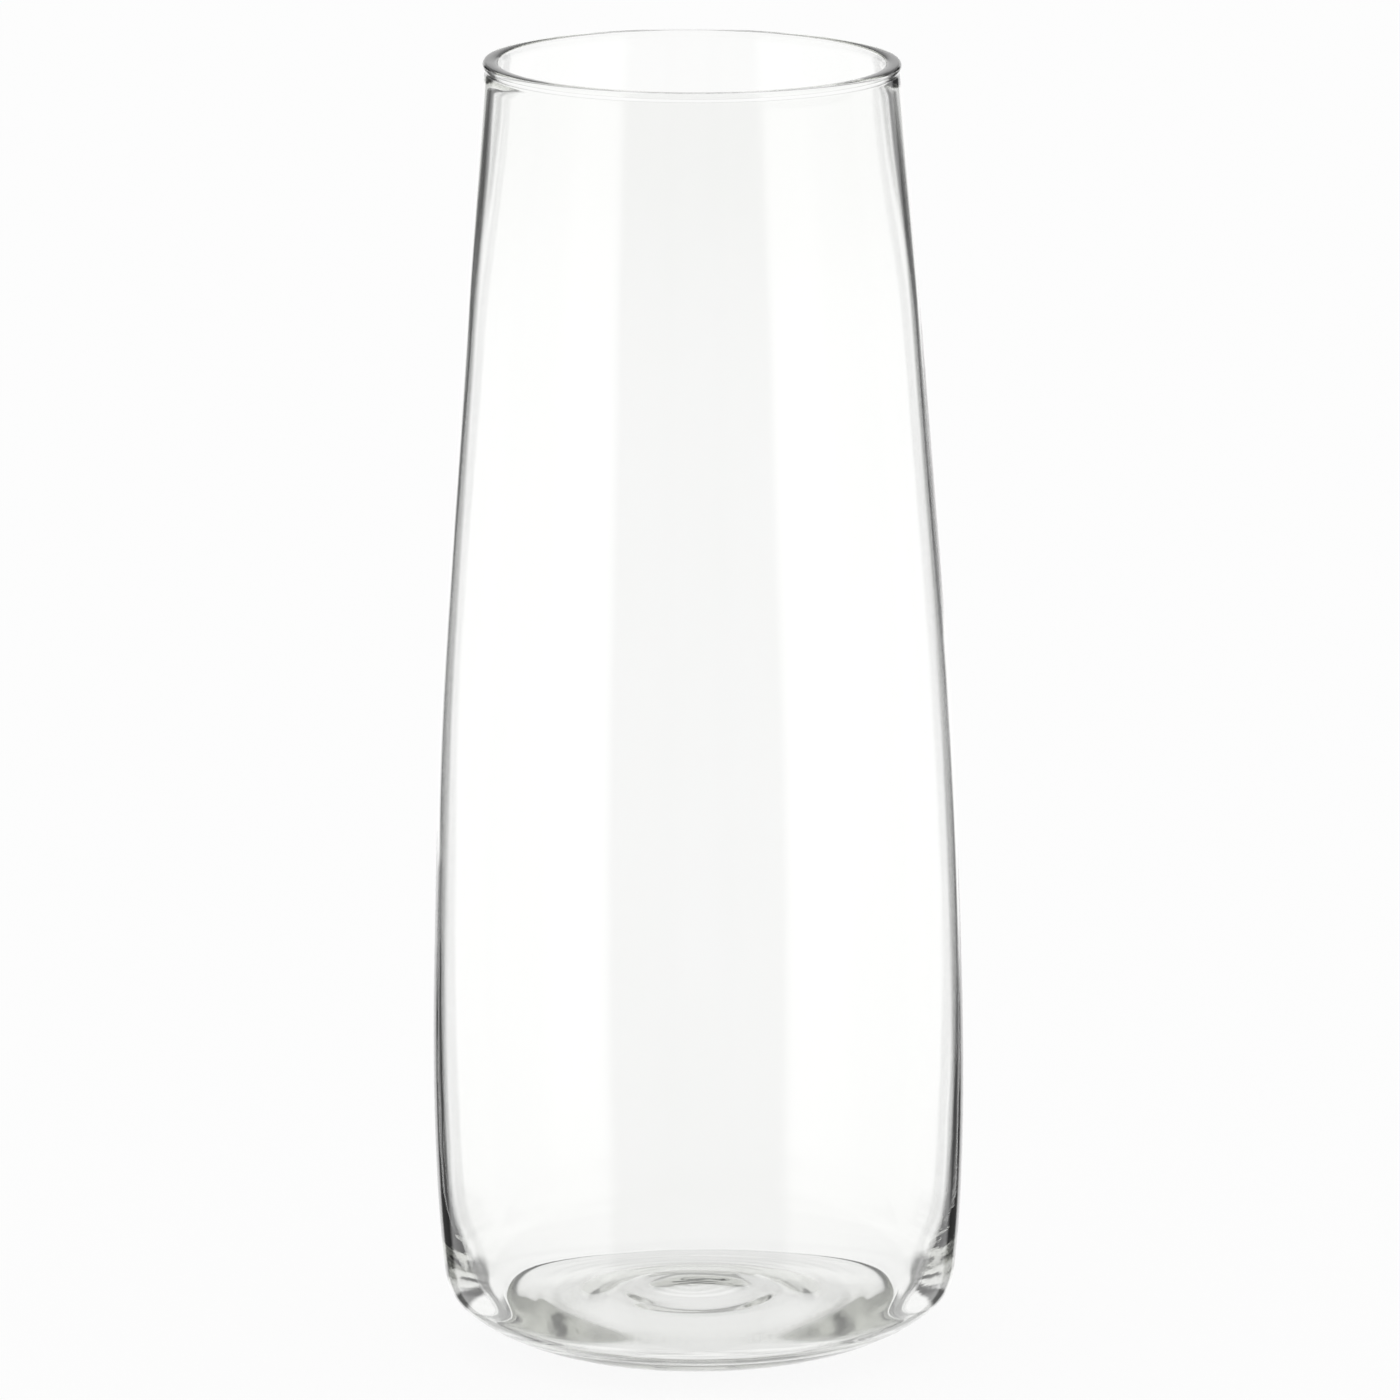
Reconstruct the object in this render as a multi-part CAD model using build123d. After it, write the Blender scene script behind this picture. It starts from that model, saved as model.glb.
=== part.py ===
from build123d import *
import os

# Tall mouth-blown flower vase of clear glass, millimetres, +Z up.
# The whole object is one piece of glass: a tapered wall, a fire-polished lip
# and a thick floor with a shallow kick-up underneath.
# Origin: centre of the resting ring, on the plane the vase stands on.

# ---- Overall size --------------------------------------------------------
HEIGHT = 450.0
LIP_OUTER_RADIUS = 71.75
LIP_INNER_RADIUS = 66.5

# ---- Lip -----------------------------------------------------------------
LIP_NECK_Z = HEIGHT - 5.0
LIP_WAIST = (71.25, HEIGHT - 2.9)
LIP_BULGE_Z = HEIGHT - 1.7
LIP_TOP_OUTER_RADIUS = 71.0
LIP_TOP_INNER_RADIUS = 67.5
LIP_INNER_Z = HEIGHT - 1.2

# ---- Outer wall: (radius, height) stations -------------------------------
SHOULDER = (89.3, 28.0)
BODY_STATIONS = [
    (91.5, 60.0),
    (92.2, 100.0),
    (91.2, 150.0),
    (88.4, 220.0),
    (82.8, 300.0),
    (76.7, 380.0),
]
NECK = (71.3, LIP_NECK_Z)
SHOULDER_DIRECTION = (0.11, 1.0)
NECK_DIRECTION = (-0.08, 1.0)

# ---- Rounded bottom edge, from the resting ring up to the wall ------------
REST_RING_INNER_RADIUS = 44.0
REST_RING_OUTER_RADIUS = 50.0
BOTTOM_EDGE_STATIONS = [
    (60.0, 2.0),
    (70.0, 5.6),
    (80.6, 11.6),
    (86.9, 18.1),
]
BOTTOM_EDGE_DIRECTION = (1.0, 0.06)

# ---- Underside kick-up ----------------------------------------------------
KICK_HEIGHT = 5.0
KICK_STATIONS = [
    (12.0, 4.7),
    (20.0, 3.7),
    (27.0, 3.5),
    (36.0, 1.9),
]
KICK_EDGE_DIRECTION = (1.0, -0.2)

# ---- Inner floor, domed in the middle -----------------------------------
FLOOR_HEIGHT = 12.9
FLOOR_STATIONS = [
    (14.0, 13.3),
    (21.0, 13.6),
    (29.0, 12.8),
    (41.0, 11.6),
    (52.0, 10.9),
    (60.0, 10.3),
    (67.0, 10.1),
]
FLOOR_EDGE = (70.8, 9.3)
FLOOR_EDGE_DIRECTION = (1.0, -0.25)

# ---- Inner bottom corner, which meets the floor in a crease ---------------------------------------------------
CORNER_STATIONS = [
    (77.1, 14.2),
    (81.4, 21.3),
]
CORNER_FOOT_DIRECTION = (1.0, 0.85)
CORNER_TOP = (84.2, 31.0)
CORNER_TOP_DIRECTION = (0.22, 1.0)

# ---- Inner wall: thick at the lip, thin at mid height, thick at the base ---
BORE_STATIONS = [
    (86.9, 46.0),
    (88.1, 60.0),
    (89.7, 100.0),
    (89.2, 160.0),
    (86.9, 220.0),
    (82.6, 280.0),
    (78.5, 330.0),
    (75.0, 370.0),
    (71.2, 400.0),
    (68.9, 420.0),
    (67.6, 434.0),
]
BORE_TOP = (66.75, LIP_NECK_Z)
BORE_TOP_DIRECTION = (-0.07, 1.0)


def backwards(direction):
    """The same tangent line, travelled the other way."""
    return (-direction[0], -direction[1])


def vase_section():
    """Half section of the glass as a face in the radius / height plane."""
    rest_outer = (REST_RING_OUTER_RADIUS, 0.0)
    rest_inner = (REST_RING_INNER_RADIUS, 0.0)
    kick_top = (0.0, KICK_HEIGHT)
    floor_centre = (0.0, FLOOR_HEIGHT)
    lip_bulge = (LIP_OUTER_RADIUS, LIP_BULGE_Z)
    lip_top_outer = (LIP_TOP_OUTER_RADIUS, HEIGHT)
    lip_top_inner = (LIP_TOP_INNER_RADIUS, HEIGHT)
    lip_inner = (LIP_INNER_RADIUS, LIP_INNER_Z)
    up = (0, 1)
    down = (0, -1)
    outward = (1, 0)
    inward = (-1, 0)

    underside = Spline(kick_top, *KICK_STATIONS, rest_inner, tangents=[outward, KICK_EDGE_DIRECTION])
    resting_ring = Line(rest_inner, rest_outer)
    bottom_edge = Spline(
        rest_outer,
        *BOTTOM_EDGE_STATIONS,
        SHOULDER,
        tangents=[BOTTOM_EDGE_DIRECTION, SHOULDER_DIRECTION],
    )
    outer_wall = Spline(SHOULDER, *BODY_STATIONS, NECK, tangents=[SHOULDER_DIRECTION, NECK_DIRECTION])
    lip_outside = Spline(NECK, LIP_WAIST, lip_bulge, lip_top_outer, tangents=[up, inward])
    lip_top = Line(lip_top_outer, lip_top_inner)
    lip_inside = Spline(lip_top_inner, lip_inner, tangents=[inward, down])
    lip_bore = Line(lip_inner, BORE_TOP)
    bore = Spline(
        BORE_TOP,
        *reversed(BORE_STATIONS),
        CORNER_TOP,
        tangents=[backwards(BORE_TOP_DIRECTION), backwards(CORNER_TOP_DIRECTION)],
    )
    inner_corner = Spline(
        CORNER_TOP,
        *reversed(CORNER_STATIONS),
        FLOOR_EDGE,
        tangents=[backwards(CORNER_TOP_DIRECTION), backwards(CORNER_FOOT_DIRECTION)],
    )
    floor = Spline(
        FLOOR_EDGE,
        *reversed(FLOOR_STATIONS),
        floor_centre,
        tangents=[backwards(FLOOR_EDGE_DIRECTION), inward],
    )
    axis_line = Line(floor_centre, kick_top)
    outline = Wire(
        [
            underside,
            resting_ring,
            bottom_edge,
            outer_wall,
            lip_outside,
            lip_top,
            lip_inside,
            lip_bore,
            bore,
            inner_corner,
            floor,
            axis_line,
        ]
    )
    return Plane.XZ * Face(outline)


vase_body = revolve(vase_section(), axis=Axis.Z, clean=False)
vase_body.label = "vase_body"
export_step(vase_body, "parts/vase_body.step")
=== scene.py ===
import math

import bmesh
import bpy
import numpy as np
from mathutils import Euler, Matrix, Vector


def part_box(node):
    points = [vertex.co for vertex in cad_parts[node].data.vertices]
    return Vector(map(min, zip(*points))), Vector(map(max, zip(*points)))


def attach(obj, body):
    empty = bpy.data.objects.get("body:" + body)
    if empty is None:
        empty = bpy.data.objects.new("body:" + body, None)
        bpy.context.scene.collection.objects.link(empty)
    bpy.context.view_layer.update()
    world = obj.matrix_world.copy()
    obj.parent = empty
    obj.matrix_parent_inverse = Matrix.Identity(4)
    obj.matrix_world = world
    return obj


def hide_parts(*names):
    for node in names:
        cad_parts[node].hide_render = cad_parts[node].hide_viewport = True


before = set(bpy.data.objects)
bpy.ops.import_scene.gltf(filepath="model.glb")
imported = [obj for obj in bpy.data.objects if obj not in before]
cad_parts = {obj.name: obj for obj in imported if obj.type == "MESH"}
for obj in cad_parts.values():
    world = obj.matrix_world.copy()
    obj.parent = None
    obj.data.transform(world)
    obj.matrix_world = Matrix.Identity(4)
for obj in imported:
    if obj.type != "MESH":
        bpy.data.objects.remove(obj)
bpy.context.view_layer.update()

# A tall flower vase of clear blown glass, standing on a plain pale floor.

# ---- Sizes, metres -----------------------------------------------------------

MM = 0.001
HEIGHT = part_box("vase_body")[1].z

SEGMENTS = 288              # columns round the vase
STEP_WALL = 4.0 * MM        # row spacing on the long walls
STEP_FINE = 1.1 * MM        # row spacing on the corners and floor
STEP_LIP = 0.35 * MM        # row spacing on the lip

RIM_TILT = 0.0098           # the rim falls this much per metre towards +X
RIM_TILT_FROM = 330 * MM    # height where the fall begins
BORE_WAVE = 0.10 * MM       # the bore is slightly out of round,
BORE_RIPPLE = 0.05 * MM     # with a finer ripple on top
RIPPLE_HEIGHT = 0.035 * MM  # fine rings in the floor, a little off centre
RIPPLE_SPACING = 5.8 * MM
RIPPLE_CENTRE = (-2.5 * MM, 1.5 * MM)
RIPPLE_REACH = 70 * MM
RIPPLE_FADE = 12 * MM

# ---- Glass -------------------------------------------------------------------

GLASS_IOR = 1.5
TINT = (0.19, 0.22, 0.10, 1.0)      # a faint green-grey that only the thick base shows
TINT_DENSITY = 6.5
CLARITY = ((0.985, 0.988, 0.982, 1.0), (1.0, 1.0, 1.0, 1.0))

# Relief of each kind of mark: how deep it is.
WAVE_DEPTH = 0.06 * MM
STREAK_DEPTH = 0.01 * MM
BLOCK_MARK_DEPTH = 0.05 * MM
CORD_DEPTH = 0.06 * MM
SCUFF_ROUGHNESS = 0.35


# ---- Floor, studio and camera --------------------------------------------------

FLOOR_COLOUR = (0.12, 0.12, 0.12, 1.0)
FLOOR_GLOW = 0.92
FLOOR_HALF = 60.0
FLOOR_GAP = 0.2 * MM

# The studio, in degrees either side of straight behind the vase (+Y): from, to, brightness.
BACKDROP_BRIGHTNESS = 1.04
DARK_FLAGS = (18, 34, 0.1)
SOFT_BOXES = (108, 136, 1.1)
BEHIND_CAMERA = (140, 200, 0.5)
SOFT_EDGE = 3

# Above the backdrop the studio is dimmer.
BACKDROP_TOP = 10
CEILING_BRIGHTNESS = 0.5

CAMERA_DISTANCE = 4.400
CAMERA_HEIGHT = 1.1485
CAMERA_PITCH = 0.2066       # radians below level
CAMERA_ROLL = -0.0065
CAMERA_PAN = -0.0003
CAMERA_LENS = 334.1

# ---- Profile -------------------------------------------------------------------

def smooth_step(share):
    """A smooth rise from 0 to 1."""
    share = min(max(share, 0.0), 1.0)
    return share * share * (3 - 2 * share)


def spline_through(points, start, end):
    """Cubic spline through the points, as (function of distance, length), with the given end directions."""
    p = np.array(points, dtype=float)
    chord = np.linalg.norm(np.diff(p, axis=0), axis=1)
    t = np.concatenate([[0.0], np.cumsum(chord)])
    n = len(p)
    system = np.zeros((n, n))
    right = np.zeros((n, 2))
    system[0, 0] = system[-1, -1] = 1.0
    right[0] = np.array(start) / np.linalg.norm(start)
    right[-1] = np.array(end) / np.linalg.norm(end)
    for i in range(1, n - 1):
        before, after = chord[i - 1], chord[i]
        system[i, i - 1] = after
        system[i, i] = 2 * (before + after)
        system[i, i + 1] = before
        slope_before = (p[i] - p[i - 1]) / before
        slope_after = (p[i + 1] - p[i]) / after
        right[i] = 3 * (after * slope_before + before * slope_after)
    tangent = np.linalg.solve(system, right)

    def at(s):
        i = min(max(int(np.searchsorted(t, s, side="right")) - 1, 0), n - 2)
        h = chord[i]
        u = (s - t[i]) / h
        return (
            (2 * u**3 - 3 * u**2 + 1) * p[i]
            + (u**3 - 2 * u**2 + u) * h * tangent[i]
            + (3 * u**2 - 2 * u**3) * p[i + 1]
            + (u**3 - u**2) * h * tangent[i + 1]
        )

    return at, t[-1]


def sampled(points_mm, start, end, step):
    """Points along the spline, about evenly spaced, without its last point."""
    at, length = spline_through([(r * MM, z * MM) for r, z in points_mm], start, end)
    count = max(2, round(length / step))
    return [tuple(at(length * k / count)) for k in range(count)]


def vase_profile():
    """(radius, height, zone) from the centre of the underside, over the lip, to the centre of the floor."""
    top = HEIGHT / MM
    underside = [(0, 5.0), (12, 4.7), (20, 3.7), (27, 3.5), (36, 1.9), (43, 0.3), (47, 0.0)]
    bottom_edge = [(47, 0.0), (52, 0.3), (60, 2.0), (70, 5.6), (80.6, 11.6), (86.9, 18.1), (89.3, 28)]
    outside = [
        (89.3, 28), (91.5, 60), (92.2, 100), (91.2, 150),
        (88.4, 220), (82.8, 300), (76.7, 380), (71.3, top - 5.0),
    ]
    bead = [(71.3, top - 5.0), (71.2, top - 2.9), (71.7, top - 1.7), (71.6, top - 0.5), (71.0, top)]
    crown = [(71.0, top), (69.2, top + 0.05), (67.5, top - 0.05)]
    lip_bore = [(67.5, top - 0.05), (66.8, top - 0.4), (66.5, top - 1.2), (66.75, top - 5.0)]
    bore = [
        (66.75, top - 5.0), (67.6, 434), (68.9, 420), (71.2, 400), (75.0, 370), (78.5, 330), (82.6, 280),
        (86.9, 220), (89.2, 160), (89.7, 100), (88.1, 60), (86.9, 46), (84.2, 31),
    ]
    corner = [(84.2, 31), (81.4, 21.3), (77.1, 14.2), (70.8, 9.3)]
    floor = [
        (70.8, 9.3), (69.6, 9.7), (67.0, 10.1), (60, 10.3), (52, 10.9), (41, 11.6), (29, 12.8), (21, 13.6),
        (14, 13.3), (0, 12.9),
    ]

    shoulder, neck = (0.11, 1.0), (-0.08, 1.0)
    corner_top, floor_edge = (-0.22, -1.0), (-1.0, -0.85)
    runs = [
        ("under", sampled(underside, (1, 0), (1, 0), STEP_FINE)),
        ("outer", sampled(bottom_edge, (1, 0), shoulder, STEP_FINE)),
        ("outer", sampled(outside, shoulder, neck, STEP_WALL)),
        ("lip", sampled(bead, neck, (-1, 0.3), STEP_LIP)),
        ("lip", sampled(crown, (-1, 0.06), (-1, -0.12), STEP_LIP)),
        ("lip", sampled(lip_bore, (-1, -0.2), (0.07, -1), STEP_LIP)),
        ("inner", sampled(bore, (0.07, -1), corner_top, STEP_WALL)),
        ("inner", sampled(corner, corner_top, floor_edge, STEP_FINE)),
        ("floor", sampled(floor, (-1.0, 0.25), (-1, 0), STEP_FINE)),
    ]
    return [(r, z, zone) for zone, points in runs for r, z in points] + [(0.0, floor[-1][1] * MM, "floor")]


def blown_offset(zone, radius, z, angle):
    """How far the hand-blown glass stands off the true round: (outward, upward)."""
    x = radius * math.cos(angle)
    upward = -RIM_TILT * x * smooth_step((z - RIM_TILT_FROM) / (HEIGHT - RIM_TILT_FROM))
    if zone == "floor":
        from_ripples = math.hypot(x - RIPPLE_CENTRE[0], radius * math.sin(angle) - RIPPLE_CENTRE[1])
        fade = smooth_step((RIPPLE_REACH - radius) / RIPPLE_FADE)
        return 0.0, RIPPLE_HEIGHT * fade * math.sin(2 * math.pi * from_ripples / RIPPLE_SPACING)
    if zone == "inner":
        outward = BORE_WAVE * math.sin(2 * angle + 9 * z) + BORE_RIPPLE * math.sin(5 * angle - 30 * z)
        return outward, upward
    return 0.0, upward


def make_vase():
    """The glass as one closed lathe mesh."""
    profile = vase_profile()
    shape = bmesh.new()
    rings = []
    for radius, z, zone in profile:
        if radius < 1e-6:
            rings.append([shape.verts.new((0, 0, z))])
            continue
        ring = []
        for k in range(SEGMENTS):
            angle = 2 * math.pi * k / SEGMENTS
            outward, upward = blown_offset(zone, radius, z, angle)
            reach = radius + outward
            ring.append(shape.verts.new((reach * math.cos(angle), reach * math.sin(angle), z + upward)))
        rings.append(ring)
    for below, above in zip(rings, rings[1:]):
        for k in range(SEGMENTS):
            after = (k + 1) % SEGMENTS
            if len(below) == 1:
                shape.faces.new((below[0], above[after], above[k]))
            elif len(above) == 1:
                shape.faces.new((below[k], below[after], above[0]))
            else:
                shape.faces.new((below[k], below[after], above[after], above[k]))
    bmesh.ops.recalc_face_normals(shape, faces=shape.faces)
    for face in shape.faces:
        face.smooth = True
    mesh = bpy.data.meshes.new("vase_glass")
    shape.to_mesh(mesh)
    shape.free()
    vase = bpy.data.objects.new("vase_glass", mesh)
    bpy.context.collection.objects.link(vase)
    return vase


# ---- Materials -------------------------------------------------------------------

def math_node(nodes, links, operation, *values):
    """A Math node fed by numbers and sockets."""
    node = nodes.new("ShaderNodeMath")
    node.operation = operation
    for slot, value in enumerate(values):
        if isinstance(value, (int, float)):
            node.inputs[slot].default_value = value
        else:
            links.new(value, node.inputs[slot])
    return node.outputs[0]


def noise(nodes, links, place, stretch, turn, detail):
    """Noise whose features are 1 / stretch metres long along each axis, turned about the Y axis."""
    mapping = nodes.new("ShaderNodeMapping")
    mapping.inputs["Rotation"].default_value = (0.0, turn, 0.0)
    mapping.inputs["Scale"].default_value = stretch
    links.new(place, mapping.inputs["Vector"])
    texture = nodes.new("ShaderNodeTexNoise")
    texture.inputs["Scale"].default_value = 1.0
    texture.inputs["Detail"].default_value = detail
    links.new(mapping.outputs["Vector"], texture.inputs["Vector"])
    return texture.outputs["Fac"]


def ramp_between(nodes, links, value, start, end, low=0.0, high=1.0):
    """A smooth change from low, where value is start, to high, where it is end."""
    change = nodes.new("ShaderNodeMapRange")
    change.interpolation_type = "SMOOTHSTEP"
    for name, number in (("From Min", start), ("From Max", end), ("To Min", low), ("To Max", high)):
        change.inputs[name].default_value = number
    links.new(value, change.inputs["Value"])
    return change.outputs["Result"]


def bump(nodes, links, height, depth, below=None):
    """Relief of the given depth in metres, laid over another bump."""
    relief = nodes.new("ShaderNodeBump")
    relief.inputs["Distance"].default_value = depth
    links.new(height, relief.inputs["Height"])
    if below:
        links.new(below, relief.inputs["Normal"])
    return relief.outputs["Normal"]


def glass_material():
    """Clear glass, tinted in its thickness, with slow waves, faint streaks and a scuffed foot."""
    material = bpy.data.materials.new("clear_blown_glass")
    material.use_nodes = True
    nodes, links = material.node_tree.nodes, material.node_tree.links
    nodes.clear()
    output = nodes.new("ShaderNodeOutputMaterial")
    glass = nodes.new("ShaderNodeBsdfPrincipled")
    glass.inputs["IOR"].default_value = GLASS_IOR
    glass.inputs["Transmission Weight"].default_value = 1.0
    tint = nodes.new("ShaderNodeVolumeAbsorption")
    tint.inputs["Color"].default_value = TINT
    tint.inputs["Density"].default_value = TINT_DENSITY
    links.new(glass.outputs["BSDF"], output.inputs["Surface"])
    links.new(tint.outputs["Volume"], output.inputs["Volume"])

    place = nodes.new("ShaderNodeTexCoord").outputs["Object"]
    split = nodes.new("ShaderNodeSeparateXYZ")
    links.new(place, split.inputs[0])

    # Slow waves all over, and long shallow streaks that run up the wall.
    waves = noise(nodes, links, place, (40, 40, 25), 0.0, 1.0)
    streaks = noise(nodes, links, place, (120, 120, 7), 0.0, 2.0)
    normal = bump(nodes, links, waves, WAVE_DEPTH)
    normal = bump(nodes, links, streaks, STREAK_DEPTH, normal)

    # Slanting tool marks low down on the right, and cords of glass near the foot.
    low_down = ramp_between(nodes, links, split.outputs["Z"], 0.070, 0.030)
    to_the_right = ramp_between(nodes, links, split.outputs["X"], 0.070, 0.086)
    block_marks = noise(nodes, links, place, (60, 60, 520), 0.6, 2.0)
    marked = math_node(nodes, links, "MULTIPLY", low_down, to_the_right)
    block_marks = math_node(nodes, links, "MULTIPLY", block_marks, marked)
    normal = bump(nodes, links, block_marks, BLOCK_MARK_DEPTH, normal)
    foot = ramp_between(nodes, links, split.outputs["Z"], 0.022, 0.008)
    cords = noise(nodes, links, place, (30, 30, 330), 0.03, 2.0)
    cords = math_node(nodes, links, "MULTIPLY", cords, foot)
    normal = bump(nodes, links, cords, CORD_DEPTH, normal)
    links.new(normal, glass.inputs["Normal"])

    # The resting ring is scuffed by every table it has stood on.
    touching = ramp_between(nodes, links, split.outputs["Z"], 0.0007, 0.0002)
    scuffs = noise(nodes, links, place, (900, 900, 900), 0.0, 3.0)
    scuffed = math_node(nodes, links, "MULTIPLY", scuffs, touching)
    roughness = math_node(nodes, links, "MULTIPLY", scuffed, SCUFF_ROUGHNESS)
    links.new(roughness, glass.inputs["Roughness"])

    # A breath of unevenness in the clarity.
    cloud = noise(nodes, links, place, (35, 35, 12), 0.0, 2.0)
    clarity = nodes.new("ShaderNodeValToRGB")
    clarity.color_ramp.elements[0].color, clarity.color_ramp.elements[1].color = CLARITY
    links.new(cloud, clarity.inputs["Fac"])
    links.new(clarity.outputs["Color"], glass.inputs["Base Color"])
    return material


def floor_material():
    """A plain matt floor that gives off most of its own pale light."""
    material = bpy.data.materials.new("pale_floor")
    material.use_nodes = True
    nodes = material.node_tree.nodes
    base = nodes["Principled BSDF"]
    base.inputs["Base Color"].default_value = FLOOR_COLOUR
    base.inputs["Roughness"].default_value = 1.0
    base.inputs["Specular IOR Level"].default_value = 0.0
    base.inputs["Emission Color"].default_value = (1.0, 1.0, 1.0, 1.0)
    base.inputs["Emission Strength"].default_value = FLOOR_GLOW
    return material


# ---- Stage ------------------------------------------------------------------------

def make_floor():
    """One wide square just under the vase, which rays in the glass pass by to reach the studio."""
    shape = bmesh.new()
    signs = ((-1, -1), (1, -1), (1, 1), (-1, 1))
    corners = [shape.verts.new((x * FLOOR_HALF, y * FLOOR_HALF, -FLOOR_GAP)) for x, y in signs]
    shape.faces.new(corners)
    mesh = bpy.data.meshes.new("floor")
    shape.to_mesh(mesh)
    shape.free()
    floor = bpy.data.objects.new("floor", mesh)
    bpy.context.collection.objects.link(floor)
    floor.data.materials.append(floor_material())
    floor.visible_transmission = False
    floor.visible_glossy = False


def between(nodes, links, angle, start, end):
    """1 from start to end degrees, with soft edges, and 0 outside."""
    soft = math.radians(SOFT_EDGE)
    entered = ramp_between(nodes, links, angle, math.radians(start) - soft, math.radians(start) + soft)
    left = ramp_between(nodes, links, angle, math.radians(end) + soft, math.radians(end) - soft)
    return math_node(nodes, links, "MULTIPLY", entered, left)


def toward(nodes, links, light, brightness, share):
    """The light, changed by the share towards a brightness."""
    difference = math_node(nodes, links, "SUBTRACT", brightness, light)
    return math_node(nodes, links, "MULTIPLY_ADD", difference, share, light)


def make_studio():
    """A bright backdrop, a dark flag at each side, soft boxes by the camera and a dimmer ceiling."""
    world = bpy.data.worlds.new("studio")
    bpy.context.scene.world = world
    world.use_nodes = True
    nodes, links = world.node_tree.nodes, world.node_tree.links
    nodes.clear()
    output = nodes.new("ShaderNodeOutputWorld")
    background = nodes.new("ShaderNodeBackground")
    split = nodes.new("ShaderNodeSeparateXYZ")
    links.new(nodes.new("ShaderNodeTexCoord").outputs["Generated"], split.inputs[0])
    azimuth = math_node(nodes, links, "ARCTAN2", split.outputs["X"], split.outputs["Y"])
    side = math_node(nodes, links, "ABSOLUTE", azimuth)
    elevation = math_node(nodes, links, "ARCSINE", split.outputs["Z"])
    light = BACKDROP_BRIGHTNESS
    for start, end, brightness in (DARK_FLAGS, SOFT_BOXES, BEHIND_CAMERA):
        light = toward(nodes, links, light, brightness, between(nodes, links, side, start, end))
    top = math.radians(BACKDROP_TOP)
    soft = math.radians(SOFT_EDGE)
    overhead = ramp_between(nodes, links, elevation, top - soft, top + soft)
    light = toward(nodes, links, light, CEILING_BRIGHTNESS, overhead)
    links.new(light, background.inputs["Color"])
    links.new(background.outputs["Background"], output.inputs["Surface"])


def make_camera():
    """A long lens that looks a little down on the vase."""
    data = bpy.data.cameras.new("camera")
    data.sensor_width = 36.0
    data.lens = CAMERA_LENS
    data.clip_end = 200.0
    camera = bpy.data.objects.new("camera", data)
    bpy.context.collection.objects.link(camera)
    camera.location = (0.0, -CAMERA_DISTANCE, CAMERA_HEIGHT)
    aim = Euler((math.pi / 2 - CAMERA_PITCH, 0.0, CAMERA_PAN)).to_matrix()
    aim = aim @ Euler((0.0, 0.0, CAMERA_ROLL)).to_matrix()
    camera.rotation_euler = aim.to_euler()
    bpy.context.scene.camera = camera


vase = make_vase()
vase.data.materials.append(glass_material())
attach(vase, "root")
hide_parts("vase_body")
make_floor()
make_studio()
make_camera()
bpy.context.scene.view_settings.view_transform = "Standard"
bpy.context.scene.cycles.max_bounces = 24
bpy.context.scene.cycles.glossy_bounces = 16
bpy.context.scene.cycles.transmission_bounces = 24
